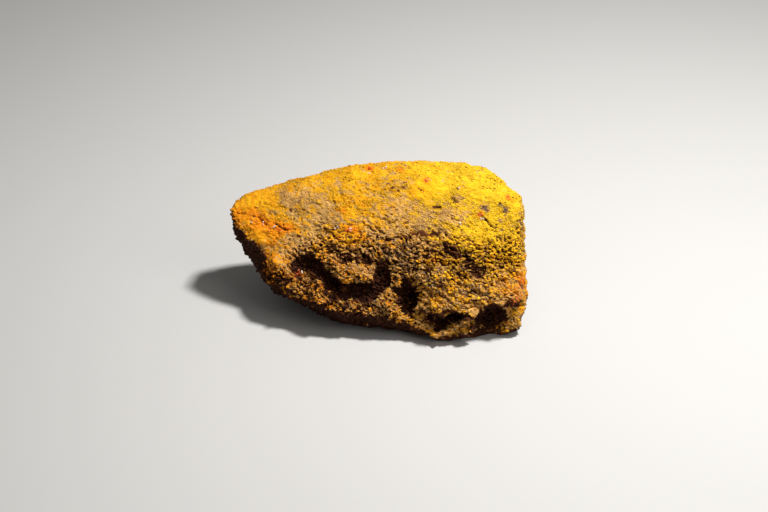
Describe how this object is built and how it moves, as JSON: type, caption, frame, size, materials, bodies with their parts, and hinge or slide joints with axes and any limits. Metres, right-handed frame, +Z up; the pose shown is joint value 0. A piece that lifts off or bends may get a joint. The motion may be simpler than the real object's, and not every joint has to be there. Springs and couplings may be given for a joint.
{
  "type": "native sulfur crystal",
  "caption": "Wedge-shaped native sulfur stone with a craggy hollowed front, a powdery yellow-orange crust over brown rock, and a flat foot to rest on.",
  "frame": {"origin": "bottom centre of the stone's bounding box, on the surface that it rests on", "axes": "+X along the stone's length towards its blunt end, -Y towards its craggy front, +Z up"},
  "size_m": [0.071, 0.038, 0.033],
  "materials": {
    "sulfur_crust": "dull, powdery yellow to orange sulfur crumbs over rough grey-brown rock, dark brown in the hollows"
  },
  "bodies": {
    "root": {"sulfur_stone": "sulfur_crust"}
  },
  "joints": []
}
